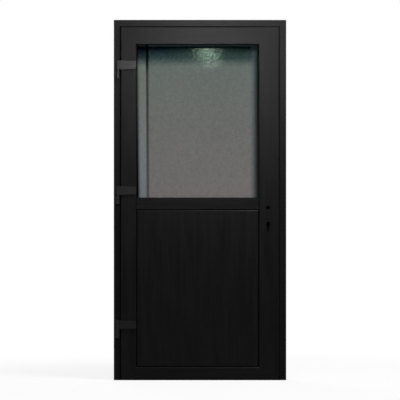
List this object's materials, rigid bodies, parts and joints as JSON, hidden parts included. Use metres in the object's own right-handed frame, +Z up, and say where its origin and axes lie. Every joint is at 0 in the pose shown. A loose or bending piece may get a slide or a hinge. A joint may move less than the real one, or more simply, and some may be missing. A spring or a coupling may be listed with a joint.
{
  "type": "half-glazed hinged entrance door with frame",
  "caption": "Black plastic-profile entrance door in its frame: obscure double glazing over a flush panel, roll hinges on one side and a multipoint lock on the other.",
  "frame": {"origin": "middle of the threshold's underside: half the frame's width, half its depth, at floor level", "axes": "+X across the door towards the lock side, +Y from the outside to the inside, +Z up"},
  "size_m": [1.005, 0.095, 2.1],
  "materials": {
    "foil_pvc": "black wood-grain foil on PVC",
    "zinc_steel": "galvanised steel",
    "black_aluminium": "black anodised aluminium",
    "insulating_plastic": "black glass-filled plastic",
    "seal_rubber": "soft black seal",
    "brush_fibre": "black brush pile",
    "obscure_glass": "rolled glass with a fine obscuring relief",
    "clear_glass": "clear float glass",
    "spacer_bar": "dark spacer bar",
    "panel_skin": "black wood-grain foil on a smooth sheet",
    "foam_core": "rigid insulating foam",
    "lock_steel": "zinc-plated steel",
    "bolt_steel": "bright steel",
    "bush_nylon": "plain bearing plastic",
    "hinge_black": "black satin powder coat",
    "hinge_cover": "black satin moulded plastic"
  },
  "bodies": {
    "frame": {"frame_head": "foil_pvc", "frame_jamb_hinge": "foil_pvc", "frame_jamb_lock": "foil_pvc", "frame_head_steel": "zinc_steel", "frame_jamb_hinge_steel": "zinc_steel", "frame_jamb_lock_steel": "zinc_steel", "threshold_front_rail": "black_aluminium", "threshold_core": "insulating_plastic", "threshold_rear_rail": "black_aluminium", "frame_seal": "seal_rubber", "strike_main": "lock_steel", "strike_upper": "lock_steel", "strike_lower": "lock_steel", "hinge_low_frame_leaf": "hinge_black", "hinge_middle_frame_leaf": "hinge_black", "hinge_high_frame_leaf": "hinge_black", "hinge_low_pin": "bolt_steel", "hinge_middle_pin": "bolt_steel", "hinge_high_pin": "bolt_steel"},
    "leaf": {"leaf_stile_hinge": "foil_pvc", "leaf_stile_lock": "foil_pvc", "leaf_top_rail": "foil_pvc", "leaf_bottom_rail": "foil_pvc", "leaf_transom": "foil_pvc", "leaf_stile_hinge_steel": "zinc_steel", "leaf_stile_lock_steel": "zinc_steel", "leaf_top_rail_steel": "zinc_steel", "leaf_bottom_rail_steel": "zinc_steel", "leaf_transom_steel": "zinc_steel", "leaf_seal": "seal_rubber", "bottom_brush": "brush_fibre", "glass_outer_pane": "obscure_glass", "glass_inner_pane": "clear_glass", "glass_spacer": "spacer_bar", "glass_seal": "seal_rubber", "glass_beads": "foil_pvc", "panel_outer_skin": "panel_skin", "panel_core": "foam_core", "panel_inner_skin": "panel_skin", "panel_seal": "seal_rubber", "panel_beads": "foil_pvc", "setting_blocks": "insulating_plastic", "lock_faceplate": "lock_steel", "lock_case": "zinc_steel", "lock_upper_case": "zinc_steel", "lock_lower_case": "zinc_steel", "hinge_bushes": "bush_nylon", "hinge_low_door_leaf": "hinge_black", "hinge_middle_door_leaf": "hinge_black", "hinge_high_door_leaf": "hinge_black", "hinge_low_cover": "hinge_cover", "hinge_middle_cover": "hinge_cover", "hinge_high_cover": "hinge_cover"},
    "follower": {"lock_follower": "bolt_steel"},
    "latch": {"lock_latch": "bolt_steel"},
    "deadbolt": {"lock_deadbolt": "bolt_steel"},
    "upper_bolt": {"lock_upper_bolt": "bolt_steel"},
    "lower_bolt": {"lock_lower_bolt": "bolt_steel"},
    "drive_rail": {"lock_drive_rail": "zinc_steel"}
  },
  "joints": [
    {"name": "leaf_swing", "type": "hinge", "parent": "frame", "child": "leaf", "pos_m": [-0.4785, -0.048, 0], "axis": [0, 0, -1], "range_deg": [0, 110]},
    {"name": "follower_turn", "type": "hinge", "parent": "leaf", "child": "follower", "pos_m": [0.3965, -0.018, 1.005], "axis": [0, 1, 0], "range_deg": [0, 40]},
    {"name": "latch_slide", "type": "slide", "parent": "leaf", "child": "latch", "axis": [1, 0, 0], "range_m": [0, 0.01414]},
    {"name": "drive_slide", "type": "slide", "parent": "leaf", "child": "drive_rail", "axis": [0, 0, 1], "range_m": [0, 0.018]},
    {"name": "deadbolt_throw", "type": "slide", "parent": "leaf", "child": "deadbolt", "axis": [1, 0, 0], "range_m": [0, 0.02]},
    {"name": "upper_bolt_throw", "type": "slide", "parent": "leaf", "child": "upper_bolt", "axis": [1, 0, 0], "range_m": [0, 0.02]},
    {"name": "lower_bolt_throw", "type": "slide", "parent": "leaf", "child": "lower_bolt", "axis": [1, 0, 0], "range_m": [0, 0.02]}
  ],
  "couplings": [
    {"joint": "follower_turn", "follows": "latch_slide", "rad_per_m": 49.36},
    {"joint": "deadbolt_throw", "follows": "drive_slide", "ratio": 1.1111},
    {"joint": "upper_bolt_throw", "follows": "drive_slide", "ratio": 1.1111},
    {"joint": "lower_bolt_throw", "follows": "drive_slide", "ratio": 1.1111}
  ]
}
